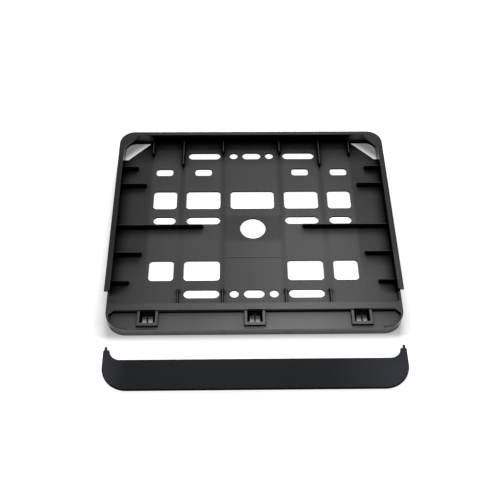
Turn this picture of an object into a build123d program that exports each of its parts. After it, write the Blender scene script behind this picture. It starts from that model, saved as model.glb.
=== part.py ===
from build123d import *

import os

# Number plate holder for a motorcycle: a moulded tray that is screwed to the vehicle, and a closing
# strip that clips over the tray's lower end once the plate is in. The strip is shown taken off, lying
# face up in front of the tray. Millimetres, +Z up off the surface that the tray's back lies on, +Y
# towards the upper end of the plate. The origin is on the axis of the centre hole, at the back.

# The plate that the holder takes
plate_width = 190.0
plate_height = 150.0
plate_thickness = 1.0
plate_side_gap = 0.2
plate_end_gap = 0.15
plate_slack = 0.2

# Walls, floor and levels of the tray
rim_height = 10.0
wall = 1.45
skin = 1.5
rib_height = 2.7
flange_overhang = 2.35
flange_thickness = 1.6
rim_corner = 11.4
rim_round = 0.7
web_thickness = 1.6
web_leg_x = 10.5
web_leg_y = 12.0

# Lower end of the tray: rail ends, ridge, recess
hole_to_top = 85.7
pocket_low_corner = 2.5
rail_gap = 9.3
ridge_width = 6.1
ridge_round = 1.0
back_wall = 1.0
back_wall_foot = 1.5
recess_length = 13.1
recess_depth = 1.6
recess_corner = 2.5
recess_corner_share = 0.25
recess_end_share = 0.7
land_width = 2.0
lower_corner = 13.0
lower_round = 0.4

# Closing strip and its clips
strip_thickness = 1.6
strip_side_gap = 0.15
strip_end_gap = 0.3
strip_overlap = 2.0
strip_corner = 16.5
strip_round = 0.6
strip_distance = 40.3
horn_width = 4.0
horn_tip_round = 0.8
pin_width = 1.6
pin_length = 2.5
pin_thickness = 0.9
pin_root = 1.6
pin_tip_round = 0.7
pin_inset = 1.5
clip_gap = 0.15
clip_leg = 2.6
clip_nose = 0.9
clip_nose_height = 0.6

# Clip sockets in the recess
socket_pitch = 69.4
socket_width = 14.2
socket_length = 10.8
socket_rise = 1.3
socket_draft = 18.0
socket_root = 1.2
socket_opening = 10.1
socket_front_wall = 2.4
window_width = 2.85
window_divider = 1.0

# Openings in the floor, as columns out from its middle and as rows up or down from the centre hole,
# from the pocket's upper end or, for those named low, from its lower end
slot_width = 6.7
slot_inset = 16.7
low_slot_inset = 9.6
long_slot = 23.8
long_slot_x = 35.1
centre_slot = 13.8
screw_hole = 6.2
screw_hole_x = 13.3
short_slot = 12.3
short_slot_height = 7.0
short_slot_round = 2.2
short_slot_inset = 32.9
short_slot_x = (35.6, 64.2)
window_height = 16.6
window_round = 2.5
window_row = 26.1
low_window_inset = 28.6
inner_window = 24.4
inner_window_x = 35.2
outer_window = 16.7
outer_window_x = 62.7
centre_window = 31.2
middle_slot_row = 7.1
inner_middle_slot = 23.7
inner_middle_slot_x = 34.9
outer_middle_slot = 15.7
outer_middle_slot_x = 62.4
centre_hole = 18.0
corner_cut_x = 23.3
corner_cut_y = 20.5
corner_cut_flat = 3.1

# Ribs: rows of the side ribs and columns of the end ribs, each with its length out from the wall
rib_thickness = 1.9
rib_draft = 14.5
rib_root = 1.3
side_ribs = ((56.4, 11.6), (39.8, 18.5), (1.5, 60.2))
low_side_rib_insets = ((42.4, 18.5), (18.7, 11.6))
top_ribs = ((21.0, 15.0), (50.7, 27.2))
corner_rib_inset = 21.7
corner_rib_length = 16.5
bottom_ribs = ((21.0, 13.0), (50.7, 13.0))
back_rib_x = (21.0, 50.7)
back_rib_thickness = 0.8
panel_width = 38.0
panel_height = 14.0
panel_rise = 0.2
panel_inset = 46.3

# Levels worked out from the sizes above
land_top = rim_height - strip_thickness
rib_top = rim_height - web_thickness - plate_slack - plate_thickness
floor_top = rib_top - rib_height
floor_back = floor_top - skin
recess_floor = land_top - recess_depth
recess_back = recess_floor - skin
land_back = land_top - skin
socket_top = recess_floor + socket_rise

# Plan sizes worked out from the sizes above
pocket_x = plate_width / 2 + plate_side_gap
pocket_top = hole_to_top
pocket_bottom = pocket_top - plate_height - 2 * plate_end_gap
wall_x = pocket_x + wall
wall_top = pocket_top + wall
rim_x = wall_x + flange_overhang
rim_top_y = wall_top + flange_overhang
wall_corner = rim_corner - flange_overhang
pocket_corner = wall_corner - wall
rail_end = pocket_bottom + rail_gap
ridge_front = pocket_bottom - ridge_width
tray_end = ridge_front - recess_length
recess_x = wall_x - land_width
recess_drop = recess_length - land_width
recess_end = min(lower_corner - land_width, recess_end_share * recess_drop)
recess_top = min(recess_corner, recess_corner_share * recess_drop)
window_x = (window_width + window_divider) / 2
funnel_x = window_width + window_divider / 2
funnel_length = socket_length - socket_front_wall
pin_x = wall_x - strip_side_gap - pin_inset
sockets = (-socket_pitch, 0, socket_pitch)

# Rows worked out from the sizes above
slot_rows = (pocket_top - slot_inset, pocket_bottom + low_slot_inset)
window_rows = (window_row, pocket_bottom + low_window_inset)
short_slot_row = pocket_top - short_slot_inset
panel_row = pocket_bottom + panel_inset
corner_rib_x = pocket_x - corner_rib_inset
upper_ribs = top_ribs + ((corner_rib_x, corner_rib_length),)
rib_rows = side_ribs + tuple((pocket_bottom + inset, length) for inset, length in low_side_rib_insets)

clip_drop = recess_depth - clip_gap
strip_x = wall_x - strip_side_gap
strip_top = pocket_bottom + strip_overlap
shoulder = rail_end - strip_end_gap

# How deep a feature runs into the one that carries it, so that the two fuse
bite = wall / 2
# How far a cut runs past the face that it opens
past = 1.0


def plan(half_width, low, high, low_corner=0.0, high_corner=0.0):
    """A rectangle about the tray's middle line, with round corners where a radius is given."""
    with BuildSketch() as outline:
        with Locations((0, (low + high) / 2)):
            Rectangle(2 * half_width, high - low)
        if low_corner:
            fillet(outline.vertices().group_by(Axis.Y)[0], low_corner)
        if high_corner:
            fillet(outline.vertices().group_by(Axis.Y)[-1], high_corner)
    return outline.sketch


pocket = plan(pocket_x, pocket_bottom, pocket_top, pocket_low_corner, pocket_corner)
lower_end = plan(wall_x, tray_end, rail_end, low_corner=lower_corner)
hollow = plan(pocket_x, tray_end + wall, pocket_top, lower_corner - wall, pocket_corner)

with BuildPart() as recess_plate:
    # Bottom of the recess
    with BuildSketch():
        add(lower_end)
    extrude(amount=recess_floor)

with BuildPart() as recess_block:
    # Block wider than the tray, with the recess let into it and the recess's upper edge rounded
    with BuildSketch():
        add(plan(rim_x, tray_end - past, rail_end))
    extrude(amount=land_top)
    with BuildSketch() as recess:
        add(plan(recess_x, tray_end + land_width, ridge_front, recess_end))
        chamfer(recess.vertices().group_by(Axis.Y)[-1], recess_top)
        with Locations((0, tray_end - past)):
            Rectangle(
                2 * (wall_x - lower_corner),
                recess_length / 2 + past,
                align=(Align.CENTER, Align.MIN),
            )
    extrude(amount=land_top, mode=Mode.SUBTRACT)
    fillet(recess_block.edges().sort_by_distance((0, ridge_front, land_top))[0], ridge_round)

with BuildPart() as holder_base:
    # Lower end: the land that the closing strip lies on, cut away to the bottom of the recess
    with BuildSketch():
        add(lower_end)
    extrude(amount=land_top)
    fillet(holder_base.faces().sort_by(Axis.Z)[-1].edges().sort_by(Axis.Y)[:-1], lower_round)
    add(recess_block.part, mode=Mode.INTERSECT)
    add(recess_plate.part)

    # Upper walls and their outward flange, which stop at the rail ends
    with BuildSketch():
        add(plan(wall_x, rail_end, wall_top, high_corner=wall_corner))
    extrude(amount=rim_height)
    with BuildSketch(Plane.XY.offset(rim_height - flange_thickness)):
        add(plan(rim_x, rail_end, rim_top_y, high_corner=rim_corner))
    extrude(amount=flange_thickness)
    rim_edges = holder_base.faces().sort_by(Axis.Z)[-1].edges().sort_by(Axis.Y)[1:]
    fillet(rim_edges, rim_round)

    # Pocket for the plate
    with BuildSketch(Plane.XY.offset(floor_top)):
        add(pocket)
    extrude(amount=rim_height - floor_top, mode=Mode.SUBTRACT)

    # Hollow back, one skin thick under the floor, the ridge and the recess
    with BuildSketch():
        add(hollow)
    extrude(amount=floor_back, mode=Mode.SUBTRACT)
    with BuildSketch():
        with Locations((0, ridge_front + wall)):
            Rectangle(2 * pocket_x, ridge_width - 2 * wall, align=(Align.CENTER, Align.MIN))
    extrude(amount=land_back, mode=Mode.SUBTRACT)
    with BuildSketch():
        add(hollow)
        with Locations((0, ridge_front + wall)):
            Rectangle(
                2 * wall_x,
                recess_length + wall,
                align=(Align.CENTER, Align.MAX),
                mode=Mode.INTERSECT,
            )
    extrude(amount=recess_back, mode=Mode.SUBTRACT)

    # Wall down from the front of the ridge, behind the clip sockets
    with BuildSketch(Plane.XY.offset(back_wall_foot)):
        with Locations((0, ridge_front + wall / 2)):
            Rectangle(2 * (pocket_x + bite), back_wall)
    extrude(amount=recess_back + skin / 2 - back_wall_foot)

    # Webs over the upper corners, which the plate slides under
    with BuildSketch(Plane.XY.offset(rim_height - web_thickness)):
        with BuildLine():
            Polyline(
                (pocket_x, pocket_top),
                (pocket_x - web_leg_x, pocket_top),
                (pocket_x, pocket_top - web_leg_y),
                close=True,
            )
        make_face()
        mirror(about=Plane.YZ)
        add(pocket, mode=Mode.INTERSECT)
    extrude(amount=web_thickness)

    # Openings through the floor
    with BuildSketch(Plane.XY.offset(floor_back - past)):
        for row in slot_rows:
            with Locations((-long_slot_x, row), (long_slot_x, row)):
                SlotOverall(long_slot, slot_width)
            with Locations((0, row)):
                SlotOverall(centre_slot, slot_width)
            with Locations((-screw_hole_x, row), (screw_hole_x, row)):
                Circle(screw_hole / 2)
        for column in short_slot_x:
            with Locations((-column, short_slot_row), (column, short_slot_row)):
                RectangleRounded(short_slot, short_slot_height, short_slot_round)
        for row in window_rows:
            with Locations((-inner_window_x, row), (inner_window_x, row)):
                RectangleRounded(inner_window, window_height, window_round)
            with Locations((-outer_window_x, row), (outer_window_x, row)):
                RectangleRounded(outer_window, window_height, window_round)
        with Locations((0, window_row)):
            RectangleRounded(centre_window, window_height, window_round)
        with Locations((-inner_middle_slot_x, middle_slot_row), (inner_middle_slot_x, middle_slot_row)):
            SlotOverall(inner_middle_slot, slot_width)
        with Locations((-outer_middle_slot_x, middle_slot_row), (outer_middle_slot_x, middle_slot_row)):
            SlotOverall(outer_middle_slot, slot_width)
        Circle(centre_hole / 2)
    extrude(amount=skin + 2 * past, mode=Mode.SUBTRACT)

    # Cut corners of the floor under the webs, each from the rib beside it to the side wall
    cut_slope = corner_cut_y / (corner_cut_x - corner_cut_flat)
    cut_start = pocket_top - max(cut_slope * (corner_cut_x - corner_rib_inset), bite)
    with BuildSketch(Plane.XY.offset(floor_back - past)):
        with BuildLine():
            Polyline(
                (pocket_x, pocket_top),
                (corner_rib_x, pocket_top),
                (corner_rib_x, cut_start),
                (pocket_x - corner_cut_flat, pocket_top - corner_cut_y),
                (pocket_x, pocket_top - corner_cut_y),
                close=True,
            )
        make_face()
        mirror(about=Plane.YZ)
        add(pocket, mode=Mode.INTERSECT)
    extrude(amount=skin + 2 * past, mode=Mode.SUBTRACT)

    # Drafted ribs that carry the plate, in from the side walls, the upper wall and the ridge
    with BuildSketch(Plane.XY.offset(floor_top)):
        for row, length in rib_rows:
            for side, align in ((-1, Align.MIN), (1, Align.MAX)):
                with Locations((side * (pocket_x + rib_root), row)):
                    Rectangle(length + rib_root, rib_thickness, align=(align, Align.CENTER))
        for column, length in upper_ribs:
            with Locations((-column, pocket_top + rib_root), (column, pocket_top + rib_root)):
                Rectangle(rib_thickness, length + rib_root, align=(Align.CENTER, Align.MAX))
        for column, length in bottom_ribs:
            with Locations((-column, pocket_bottom - rib_root), (column, pocket_bottom - rib_root)):
                Rectangle(rib_thickness, length + rib_root, align=(Align.CENTER, Align.MIN))
    extrude(amount=rib_height, taper=rib_draft)

    # Stiffening ribs down the hollow back
    with BuildSketch():
        for column in back_rib_x:
            with Locations((-column, pocket_top + bite), (column, pocket_top + bite)):
                Rectangle(
                    back_rib_thickness,
                    plate_height + 2 * plate_end_gap + 2 * bite,
                    align=(Align.CENTER, Align.MAX),
                )
    extrude(amount=floor_back + skin / 2)

    # Bare raised panel on the floor
    with BuildSketch(Plane.XY.offset(floor_top)):
        with Locations((0, panel_row)):
            Rectangle(panel_width, panel_height)
    extrude(amount=panel_rise)

    # Clip sockets: a drafted collar, with a funnel through it that a divider parts into two windows
    with BuildSketch(Plane.XY.offset(recess_floor)):
        for x in sockets:
            with Locations((x, ridge_front + socket_root)):
                Rectangle(socket_width, socket_length + socket_root, align=(Align.CENTER, Align.MAX))
    extrude(amount=socket_rise, taper=socket_draft)
    with BuildSketch(Plane.XZ.offset(-ridge_front)):
        for x in sockets:
            with BuildLine():
                Polyline(
                    (x - funnel_x, recess_back - past),
                    (x + funnel_x, recess_back - past),
                    (x + funnel_x, recess_back),
                    (x + socket_opening / 2, socket_top),
                    (x + socket_opening / 2, socket_top + past),
                    (x - socket_opening / 2, socket_top + past),
                    (x - socket_opening / 2, socket_top),
                    (x - funnel_x, recess_back),
                    close=True,
                )
            make_face()
    extrude(amount=funnel_length, mode=Mode.SUBTRACT)
    with BuildSketch(Plane.XY.offset(recess_back)):
        for x in sockets:
            with Locations((x, ridge_front + bite)):
                Rectangle(window_divider, funnel_length + 2 * bite, align=(Align.CENTER, Align.MAX))
    extrude(amount=skin)
    with BuildSketch(Plane.XY.offset(recess_floor)):
        for x in sockets:
            with Locations((x - window_x, ridge_front), (x + window_x, ridge_front)):
                Rectangle(window_width, wall, align=(Align.CENTER, Align.MIN))
    extrude(amount=clip_nose_height + 2 * clip_gap, mode=Mode.SUBTRACT)

    # Pockets in the rail ends for the closing strip's pins
    pin_end = shoulder + pin_length + clip_gap
    with BuildSketch(Plane.XY.offset(land_top)):
        with Locations((-pin_x, pin_end), (pin_x, pin_end)):
            Rectangle(
                pin_width + 2 * clip_gap,
                pin_end - rail_end + past,
                align=(Align.CENTER, Align.MAX),
            )
    extrude(amount=pin_thickness + clip_gap, mode=Mode.SUBTRACT)

with BuildPart() as closing_strip:
    # Flat strip with a horn at each end, on the plane of its own back
    with BuildSketch(Plane((0, -strip_distance, clip_drop))) as strip_plan:
        with BuildLine():
            horn_x = strip_x - horn_width
            horn_arc = shoulder - strip_top
            Line((0, tray_end), (strip_x - strip_corner, tray_end))
            CenterArc((strip_x - strip_corner, tray_end + strip_corner), strip_corner, -90, 90)
            Polyline((strip_x, tray_end + strip_corner), (strip_x, shoulder), (horn_x, shoulder))
            CenterArc((horn_x - horn_arc, shoulder), horn_arc, -90, 90)
            Line((horn_x - horn_arc, strip_top), (0, strip_top))
            mirror(about=Plane.YZ)
        make_face()
        fillet(strip_plan.vertices().group_by(Axis.Y)[-1], horn_tip_round)
    extrude(amount=strip_thickness)
    fillet(closing_strip.faces().sort_by(Axis.Z)[-1].edges(), strip_round)

    # Hooked clips under the strip, two for each socket
    clip_front = ridge_front - clip_gap
    for x in [x + side * window_x for x in sockets for side in (-1, 1)]:
        with BuildSketch(Plane((x, -strip_distance, clip_drop), x_dir=(0, 1, 0), z_dir=(1, 0, 0))):
            with BuildLine():
                Polyline(
                    (clip_front - clip_leg, strip_thickness / 2),
                    (clip_front - clip_leg, -clip_drop),
                    (clip_front + clip_nose, -clip_drop),
                    (clip_front + clip_nose, clip_nose_height - clip_drop),
                    (clip_front, clip_nose_height - clip_drop),
                    (clip_front, strip_thickness / 2),
                    close=True,
                )
            make_face()
    extrude(amount=window_width / 2 - clip_gap, both=True)

    # Round-ended pins that slip into the rail ends
    with BuildSketch(Plane((0, -strip_distance, clip_drop))) as pins:
        with Locations((-pin_x, shoulder + pin_length), (pin_x, shoulder + pin_length)):
            Rectangle(pin_width, pin_length + pin_root, align=(Align.CENTER, Align.MAX))
        fillet(pins.vertices().group_by(Axis.Y)[-1], pin_tip_round)
    extrude(amount=pin_thickness)

os.makedirs("parts", exist_ok=True)
holder_base.part.label = "holder_base"
export_step(holder_base.part, "parts/holder_base.step")
closing_strip.part.label = "closing_strip"
export_step(closing_strip.part, "parts/closing_strip.step")
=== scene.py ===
import functools
import math

import bpy
from mathutils import Matrix, Vector


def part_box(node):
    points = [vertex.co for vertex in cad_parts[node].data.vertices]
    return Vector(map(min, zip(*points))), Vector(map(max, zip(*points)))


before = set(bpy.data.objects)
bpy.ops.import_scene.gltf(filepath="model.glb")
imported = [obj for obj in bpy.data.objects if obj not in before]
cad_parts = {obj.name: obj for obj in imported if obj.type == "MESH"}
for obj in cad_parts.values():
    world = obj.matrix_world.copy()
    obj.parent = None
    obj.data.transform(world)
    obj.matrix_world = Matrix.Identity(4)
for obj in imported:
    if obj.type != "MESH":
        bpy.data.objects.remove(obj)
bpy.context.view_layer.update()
scene = bpy.context.scene
scene.view_settings.view_transform = "Standard"

MM = 0.001

# Sizes of the tray in mm
RIM_WIDTH = 3.8
RIDGE_WIDTH = 6.1
RECESS_LENGTH = 13.1
FLOOR_DEPTH = 5.5
RIB_COLUMNS = (21.0, 50.7)
SOCKET_COLUMNS = (0.0, 69.4)
PANEL_WIDTH = 38.0
PANEL_HEIGHT = 14.0
PANEL_INSET = 46.3
# Direction square to the edge of a cut corner, as shares of X and Y
CUT_X, CUT_Y = 0.661, 0.751

# Places in mm, worked out from the boxes of the pieces. X is 0 in the middle, Y at the centre hole
tray_low, tray_high = (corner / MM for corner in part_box("holder_base"))
strip_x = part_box("closing_strip")[1].x / MM
pocket_x = tray_high.x - RIM_WIDTH
pocket_top = tray_high.y - RIM_WIDTH
ridge_front = tray_low.y + RECESS_LENGTH
pocket_low = ridge_front + RIDGE_WIDTH
floor_top = tray_high.z - FLOOR_DEPTH
panel_x = PANEL_WIDTH / 2
panel_low = pocket_low + PANEL_INSET - PANEL_HEIGHT / 2
panel_top = panel_low + PANEL_HEIGHT

# Table, world and camera, with lengths in metres, or mm where the name says so, and turns in degrees
TABLE_SIZE = 60.0
TABLE_DROP = 0.05 * MM
TABLE_NEAR, TABLE_FAR = 0.35, 0.6
WORLD_STRENGTH = 0.12
SENSOR_MM = 36.0
LENS_MM = 58.803
CAMERA_PLACE = (-0.011729, -0.353188, 0.457985)
CAMERA_TURN = (36.3889, -0.5593, -0.8549)


class Graph:
    """A material under construction, with short calls for the nodes used here. The point on the
    piece is spot in metres, and x, y and z in mm. across is how far x is from the middle."""

    # Numbers of a Mix node's colour sockets
    MIX_A, MIX_B, MIX_RESULT = 6, 7, 2
    # How far the rounded normal agrees with the true one on a worn edge and on a plain face
    WORN, PLAIN = 0.80, 0.985

    def __init__(self, name):
        self.material = bpy.data.materials.new(name)
        self.material.use_nodes = True
        self.tree = self.material.node_tree
        self.tree.nodes.clear()
        self.spot = self.node("TexCoord").outputs["Object"]
        in_mm = self.node("VectorMath", {0: self.spot, "Scale": 1 / MM}, operation="SCALE").outputs[0]
        self.x, self.y, self.z = self.node("SeparateXYZ", {0: in_mm}).outputs
        self.across = self.math("ABSOLUTE", self.x)

    def node(self, kind, inputs=None, **settings):
        """A node with its settings, and its inputs given as sockets or plain values."""
        node = self.tree.nodes.new("ShaderNode" + kind)
        for name, value in settings.items():
            setattr(node, name, value)
        for name, value in (inputs or {}).items():
            if isinstance(value, bpy.types.NodeSocket):
                self.tree.links.new(value, node.inputs[name])
            else:
                node.inputs[name].default_value = value
        return node

    def math(self, operation, *values, clamp=False):
        node = self.node("Math", dict(enumerate(values)), operation=operation, use_clamp=clamp)
        return node.outputs[0]

    def times(self, *values):
        return functools.reduce(functools.partial(self.math, "MULTIPLY"), values)

    def plus(self, *values):
        return functools.reduce(functools.partial(self.math, "ADD"), values)

    def most(self, *values):
        return functools.reduce(functools.partial(self.math, "MAXIMUM"), values)

    def rest(self, value):
        """What a value leaves of 1."""
        return self.math("SUBTRACT", 1.0, value)

    def gain(self, mask, amount):
        """1 where the mask is 0, and more by the amount where it is 1."""
        return self.math("MULTIPLY_ADD", mask, amount, 1.0)

    def ramp(self, value, low, high, to_low, to_high):
        """A smooth step from one value to another as the input goes from low to high."""
        inputs = {"Value": value, "From Min": low, "From Max": high, "To Min": to_low, "To Max": to_high}
        return self.node("MapRange", inputs, interpolation_type="SMOOTHSTEP").outputs["Result"]

    def fade(self, mask, least):
        """1 where the mask is 0, and the least value where it is 1."""
        return self.ramp(mask, 0.0, 1.0, 1.0, least)

    def below(self, value, limit, soft):
        """1 below the limit and 0 above it, with a soft end."""
        return self.ramp(value, limit - soft, limit + soft, 1.0, 0.0)

    def inside(self, value, low, high, soft):
        """1 between low and high, 0 outside, with soft ends."""
        rise = self.ramp(value, low - soft, low + soft, 0.0, 1.0)
        return self.times(rise, self.below(value, high, soft))

    def patch(self, half, low, high, soft_x, soft_y):
        """1 within half a width of the middle and between low and high in Y, with soft ends."""
        return self.times(self.below(self.across, half, soft_x), self.inside(self.y, low, high, soft_y))

    def off(self, column):
        """How far the point is in X from a column or its mirror image."""
        return self.math("ABSOLUTE", self.math("SUBTRACT", self.across, column))

    def noise(self, spot, scale, detail=2.0):
        return self.node("TexNoise", {"Vector": spot, "Scale": scale, "Detail": detail}).outputs["Fac"]

    def stretched(self, x, y, z):
        """The point with its X, Y and Z scaled, for a noise that is drawn out."""
        return self.node("Mapping", {"Vector": self.spot, "Scale": (x, y, z)}).outputs[0]

    def tint(self, tone, colour):
        """A colour times a tone."""
        inputs = {"Factor": 1.0, self.MIX_A: (*colour, 1.0), self.MIX_B: tone}
        return self.node("Mix", inputs, data_type="RGBA", blend_type="MULTIPLY").outputs[self.MIX_RESULT]

    def rounded(self, radius):
        """The normal with rounded edges."""
        return self.node("Bevel", {"Radius": radius}, samples=6).outputs[0]

    def wear(self, rounded):
        """A mask of the edges, where the rounded normal leaves the true one."""
        true = self.node("NewGeometry").outputs["Normal"]
        level = self.node("VectorMath", {0: rounded, 1: true}, operation="DOT_PRODUCT").outputs["Value"]
        return self.ramp(level, self.WORN, self.PLAIN, 1.0, 0.0)

    def occlusion_shade(self, reach, lean):
        """Painted shade from the piece's own occlusion: 1 on open faces, less in the corners where faces
        meet, most of all where they rise to +Y.
        """
        true = self.node("NewGeometry").outputs["Normal"]
        towards = (0.0, math.tan(lean), 0.0)
        leant = self.node("VectorMath", {0: true, 1: towards}, operation="ADD").outputs[0]
        leant = self.node("VectorMath", {0: leant}, operation="NORMALIZE").outputs[0]
        inputs = {"Distance": reach, "Normal": leant}
        light = self.node("AmbientOcclusion", inputs, samples=16, only_local=True).outputs["AO"]
        return self.math("DIVIDE", light, (1.0 + math.cos(lean)) / 2, clamp=True)

    def finish(self, surface):
        self.node("OutputMaterial", {"Surface": surface.outputs[0]})
        return self.material


def painted_sink_band_shade(g, floor):
    """Painted shade in bands on the floor along the ribs' columns, where shallow sink dips would turn the
    sheen away, strongest towards the upper end.
    """
    bands = []
    for column, low_depth in zip(RIB_COLUMNS, (0.20, 0.10)):
        depth = g.ramp(g.y, -20.0, 10.0, low_depth, 0.28)
        bands.append(g.rest(g.times(floor, depth, g.ramp(g.off(column), 0.4, 3.4, 1.0, 0.0))))
    return g.times(*bands)


def painted_corner_shade(g):
    """Painted shade where faces meet, less of it at the tray's lower end and round the panel."""
    ends = g.times(g.ramp(g.y, tray_low.y + 4.3, tray_low.y + 7.3, 1.0, 0.0),
                   g.ramp(g.across, tray_high.x - 21.0, tray_high.x - 17.0, 0.0, 1.0))
    ridge = g.inside(g.y, pocket_low - 1.9, pocket_low + 9.6, 3.0)
    recess = g.ramp(g.y, ridge_front - 0.3, ridge_front + 0.2, 0.7, 0.0)
    panel = g.patch(panel_x + 2.0, panel_low - 3.7, panel_top + 2.3, soft_x=0.5, soft_y=1.0)
    strength = g.ramp(g.most(ends, ridge, recess, panel), 0.0, 1.0, 3.7, 0.6)
    return g.math("POWER", g.occlusion_shade(10.0 * MM, math.radians(27.0)), strength)


def painted_wall_shade(g, floor):
    """Painted shade on the floor along the upper and side walls and on top of the rim, down to the lower
    end.
    """
    upper = g.times(floor, g.ramp(g.y, pocket_top - 29.7, pocket_top - 12.7, 0.0, 0.45),
                    g.ramp(g.y, pocket_top - 10.7, pocket_top - 5.7, 1.0, 0.3))
    side = g.times(floor, g.ramp(g.across, pocket_x - 23.7, pocket_x - 20.2, 0.0, 1.0),
                   g.ramp(g.y, pocket_low + 12.6, pocket_low + 50.6, 0.0, 1.0))
    rim = g.times(g.ramp(g.z, tray_high.z - 0.8, tray_high.z - 0.5, 0.0, 1.0),
                  g.ramp(g.y, pocket_low + 19.6, pocket_low + 54.6, 0.0, 1.0))
    return g.times(g.rest(upper), g.fade(g.most(side, rim), 0.68))


def painted_hole_shade(g):
    """Painted shade below the floor's top, so inside its openings and at its back, and inside the clip
    sockets.
    """
    openings = g.times(g.patch(pocket_x - 1.2, tray_low.y + 2.3, pocket_top + 0.3, soft_x=0.5, soft_y=0.5),
                       g.ramp(g.z, floor_top - 0.6, floor_top - 0.2, 1.0, 0.0))
    row = g.inside(g.y, ridge_front - 7.7, ridge_front + 1.2, 0.3)
    wells = [g.times(g.below(g.off(column), 4.8, 0.2), row) for column in SOCKET_COLUMNS]
    return g.fade(g.most(openings, *wells), 0.12)


def painted_end_sheen(g):
    """Painted sheen on the glossier lower end: brighter from the ridge forward, more from the recess on,
    less to the sides, most on the front as a painted reflection of the table.
    """
    ridge = g.ramp(g.y, pocket_low - 1.4, pocket_low + 1.6, 0.45, 0.0)
    recess = g.ramp(g.y, ridge_front - 1.8, ridge_front + 0.7, 0.20, 0.0)
    front = g.ramp(g.y, tray_low.y + 0.1, tray_low.y + 0.8, 0.22, 0.0)
    middle = g.ramp(g.across, 30.0, 75.0, 1.0, 0.65)
    return g.plus(1.0, g.times(g.plus(ridge, recess), middle), front)


def tray_plastic():
    """Grained black plastic with a sheen, with painted shade in sink bands, corners, along walls and in
    holes, and a painted sheen at the lower end.
    """
    g = Graph("tray_plastic")
    mottle = g.math("MULTIPLY_ADD", g.noise(g.stretched(1.0, 0.3, 1.0), 70.0, 4.0), 0.26, 0.87)
    floor = g.ramp(g.z, floor_top + 0.5, floor_top + 1.0, 1.0, 0.0)
    round_centre_hole = g.patch(20.0, -11.0, 11.0, soft_x=1.5, soft_y=3.0)
    worn = g.wear(g.rounded(0.25 * MM))
    tone = g.times(mottle, painted_sink_band_shade(g, floor), g.fade(round_centre_hole, 0.74), painted_corner_shade(g),
                   painted_wall_shade(g, floor), painted_hole_shade(g), painted_end_sheen(g), g.gain(worn, 0.15))
    # The panel's lower edge gets a painted highlight, paler on its top edge and on the floor in front
    painted_edge_highlight = g.patch(panel_x + 0.1, panel_low - 0.3, panel_low + 0.4, soft_x=0.1, soft_y=0.1)
    shade = g.times(tone, g.gain(painted_edge_highlight, 2.4))
    grain = g.noise(g.spot, 2600.0)
    bump = g.node("Bump", {"Strength": 0.03, "Distance": 0.2 * MM, "Height": grain})
    return g.finish(g.node("BsdfPrincipled", {
        "Base Color": g.tint(shade, (0.0175, 0.0175, 0.0178)),
        "Roughness": g.ramp(grain, 0.2, 0.8, 0.20, 0.22),
        "Specular IOR Level": g.times(tone, 0.5),
        "Normal": bump.outputs[0],
    }))


def strip_plastic():
    """Smooth black plastic with a cool cast and a random haze, with a painted reflection that brightens it
    towards its ends, and paler along its edges.
    """
    g = Graph("strip_plastic")
    haze = g.noise(g.stretched(0.5, 1.0, 1.0), 45.0, 3.0)
    # Painted reflection, brightening the strip towards both ends
    painted_end_reflection = g.plus(g.ramp(g.x, 40.0, strip_x - 0.5, 0.0, 1.6),
                  g.ramp(g.x, 0.5 - strip_x, 16.5 - strip_x, 1.5, 0.0))
    rounded = g.rounded(0.4 * MM)
    tone = g.times(g.math("MULTIPLY_ADD", haze, 0.3, 0.78), g.plus(1.0, painted_end_reflection),
                   g.gain(g.wear(rounded), 0.15))
    grain = g.noise(g.spot, 3200.0)
    bump = g.node("Bump", {"Strength": 0.05, "Distance": 0.1 * MM, "Height": grain, "Normal": rounded})
    return g.finish(g.node("BsdfPrincipled", {
        "Base Color": g.tint(tone, (0.0145, 0.0160, 0.0190)),
        "Roughness": g.ramp(haze, 0.3, 0.7, 0.56, 0.64),
        "Specular IOR Level": 0.05,
        "Normal": bump.outputs[0],
    }))


def table_glow(g):
    """Strength of the table's glow, which is lowered where the tray shades the table, as a painted shadow.
    """
    # Painted light over the tray's shade: white under the floor's openings and nearly so in front of the
    # tray, with a painted shadow at its front edge, and less elsewhere
    diagonal = g.plus(g.times(g.across, CUT_X), g.times(g.y, CUT_Y))
    under = g.times(g.patch(pocket_x - 0.2, pocket_low + 2.6, pocket_top + 0.3, soft_x=1.0, soft_y=1.0),
                    g.ramp(diagonal, 108.0, 110.0, 1.0, 0.0))
    front = g.ramp(g.y, tray_low.y - 5.4, tray_low.y + 0.6, 0.84, 0.08)
    glow = g.math("MULTIPLY_ADD", g.most(front, under), 0.66, 0.34)
    # Painted shadow under the clip sockets, darkest at their far side
    sockets = g.patch(pocket_x - 5.2, tray_low.y + 3.8, pocket_low + 1.6, soft_x=1.0, soft_y=1.0)
    socket_shadow = g.times(sockets, g.ramp(g.y, ridge_front - 3.9, ridge_front + 0.1, 0.2, 0.95))
    glow = g.times(glow, g.rest(socket_shadow))
    # Painted shadow under the cut corners, darker towards the corners of the rim
    cut_corner_shadow = g.times(g.patch(pocket_x + 1.8, pocket_top - 27.7, pocket_top + 4.3, soft_x=0.5, soft_y=2.0),
                   g.rest(under))
    glow = g.math("MULTIPLY_ADD", cut_corner_shadow, g.ramp(diagonal, 110.5, 119.5, 0.38, -0.22), glow)
    # White far off, where the lamps don't reach
    away = g.node("VectorMath", {0: g.spot}, operation="LENGTH").outputs["Value"]
    return g.most(glow, g.ramp(away, TABLE_NEAR, TABLE_FAR, 0.0, 1.0))


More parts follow.
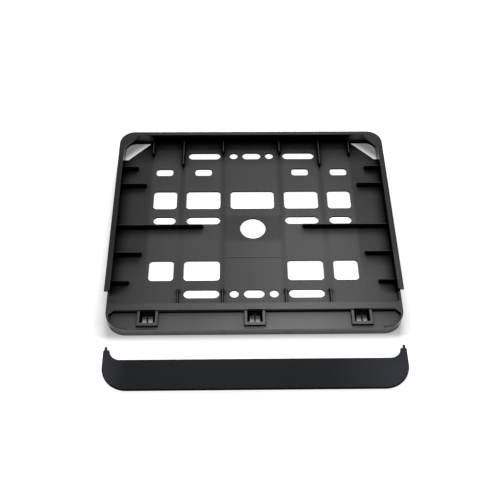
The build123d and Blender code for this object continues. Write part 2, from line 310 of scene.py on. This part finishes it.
def table_white():
    """White table: matt, with a glow of its own that only the camera and reflections see."""
    g = Graph("table_white")
    rays = g.node("LightPath").outputs
    seen = g.most(*(rays[f"Is {kind} Ray"] for kind in ("Camera", "Glossy", "Transmission")))
    glow = g.node("Emission", {"Strength": g.times(seen, table_glow(g))})
    matt = g.node("BsdfDiffuse", {"Color": (0.85, 0.85, 0.85, 1.0)})
    return g.finish(g.node("AddShader", {0: matt.outputs[0], 1: glow.outputs[0]}))


def dress(node, material):
    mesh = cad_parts[node].data
    mesh.materials.clear()
    mesh.materials.append(material)


def softbox(name, azimuth, elevation, distance, width, length, radiance):
    """A lamp that faces the tray from a direction, its length in the upright plane through it.
    Azimuth 0 is straight behind, elevation 90 straight above."""
    lamp = bpy.data.lights.new(name, "AREA")
    lamp.shape = "RECTANGLE"
    lamp.size = width
    lamp.size_y = length
    lamp.energy = radiance * math.pi * width * length
    box = bpy.data.objects.new(name, lamp)
    scene.collection.objects.link(box)
    a, e = math.radians(azimuth), math.radians(elevation)
    away = Vector((math.sin(a) * math.cos(e), math.cos(a) * math.cos(e), math.sin(e)))
    right = Vector((math.cos(a), -math.sin(a), 0.0))
    turn = Matrix((right, away.cross(right), away)).transposed()
    box.matrix_world = Matrix.Translation(away * distance) @ turn.to_4x4()


dress("holder_base", tray_plastic())
dress("closing_strip", strip_plastic())

# Table
bpy.ops.mesh.primitive_plane_add(size=TABLE_SIZE, location=(0, 0, -TABLE_DROP))
table = bpy.context.object
table.name = "table"
table.data.materials.append(table_white())

# Lamps and world
softbox("wide_panel", azimuth=2.75, elevation=62.9, distance=1.3,
        width=0.588, length=0.653, radiance=1.30)
softbox("side_panel", azimuth=15.4, elevation=62.9, distance=1.35,
        width=0.3315, length=0.678, radiance=1.00)
softbox("back_softbox", azimuth=2.9, elevation=20.6, distance=1.3,
        width=0.62, length=0.356, radiance=54.5)

world = bpy.data.worlds.new("studio")
scene.world = world
world.use_nodes = True
world.node_tree.nodes["Background"].inputs["Color"].default_value = (1.0, 1.0, 1.0, 1.0)
world.node_tree.nodes["Background"].inputs["Strength"].default_value = WORLD_STRENGTH

# Camera, where the photograph was taken from
lens = bpy.data.cameras.new("camera")
lens.sensor_width = SENSOR_MM
lens.lens = LENS_MM
camera = bpy.data.objects.new("camera", lens)
scene.collection.objects.link(camera)
camera.location = CAMERA_PLACE
camera.rotation_euler = [math.radians(angle) for angle in CAMERA_TURN]
scene.camera = camera
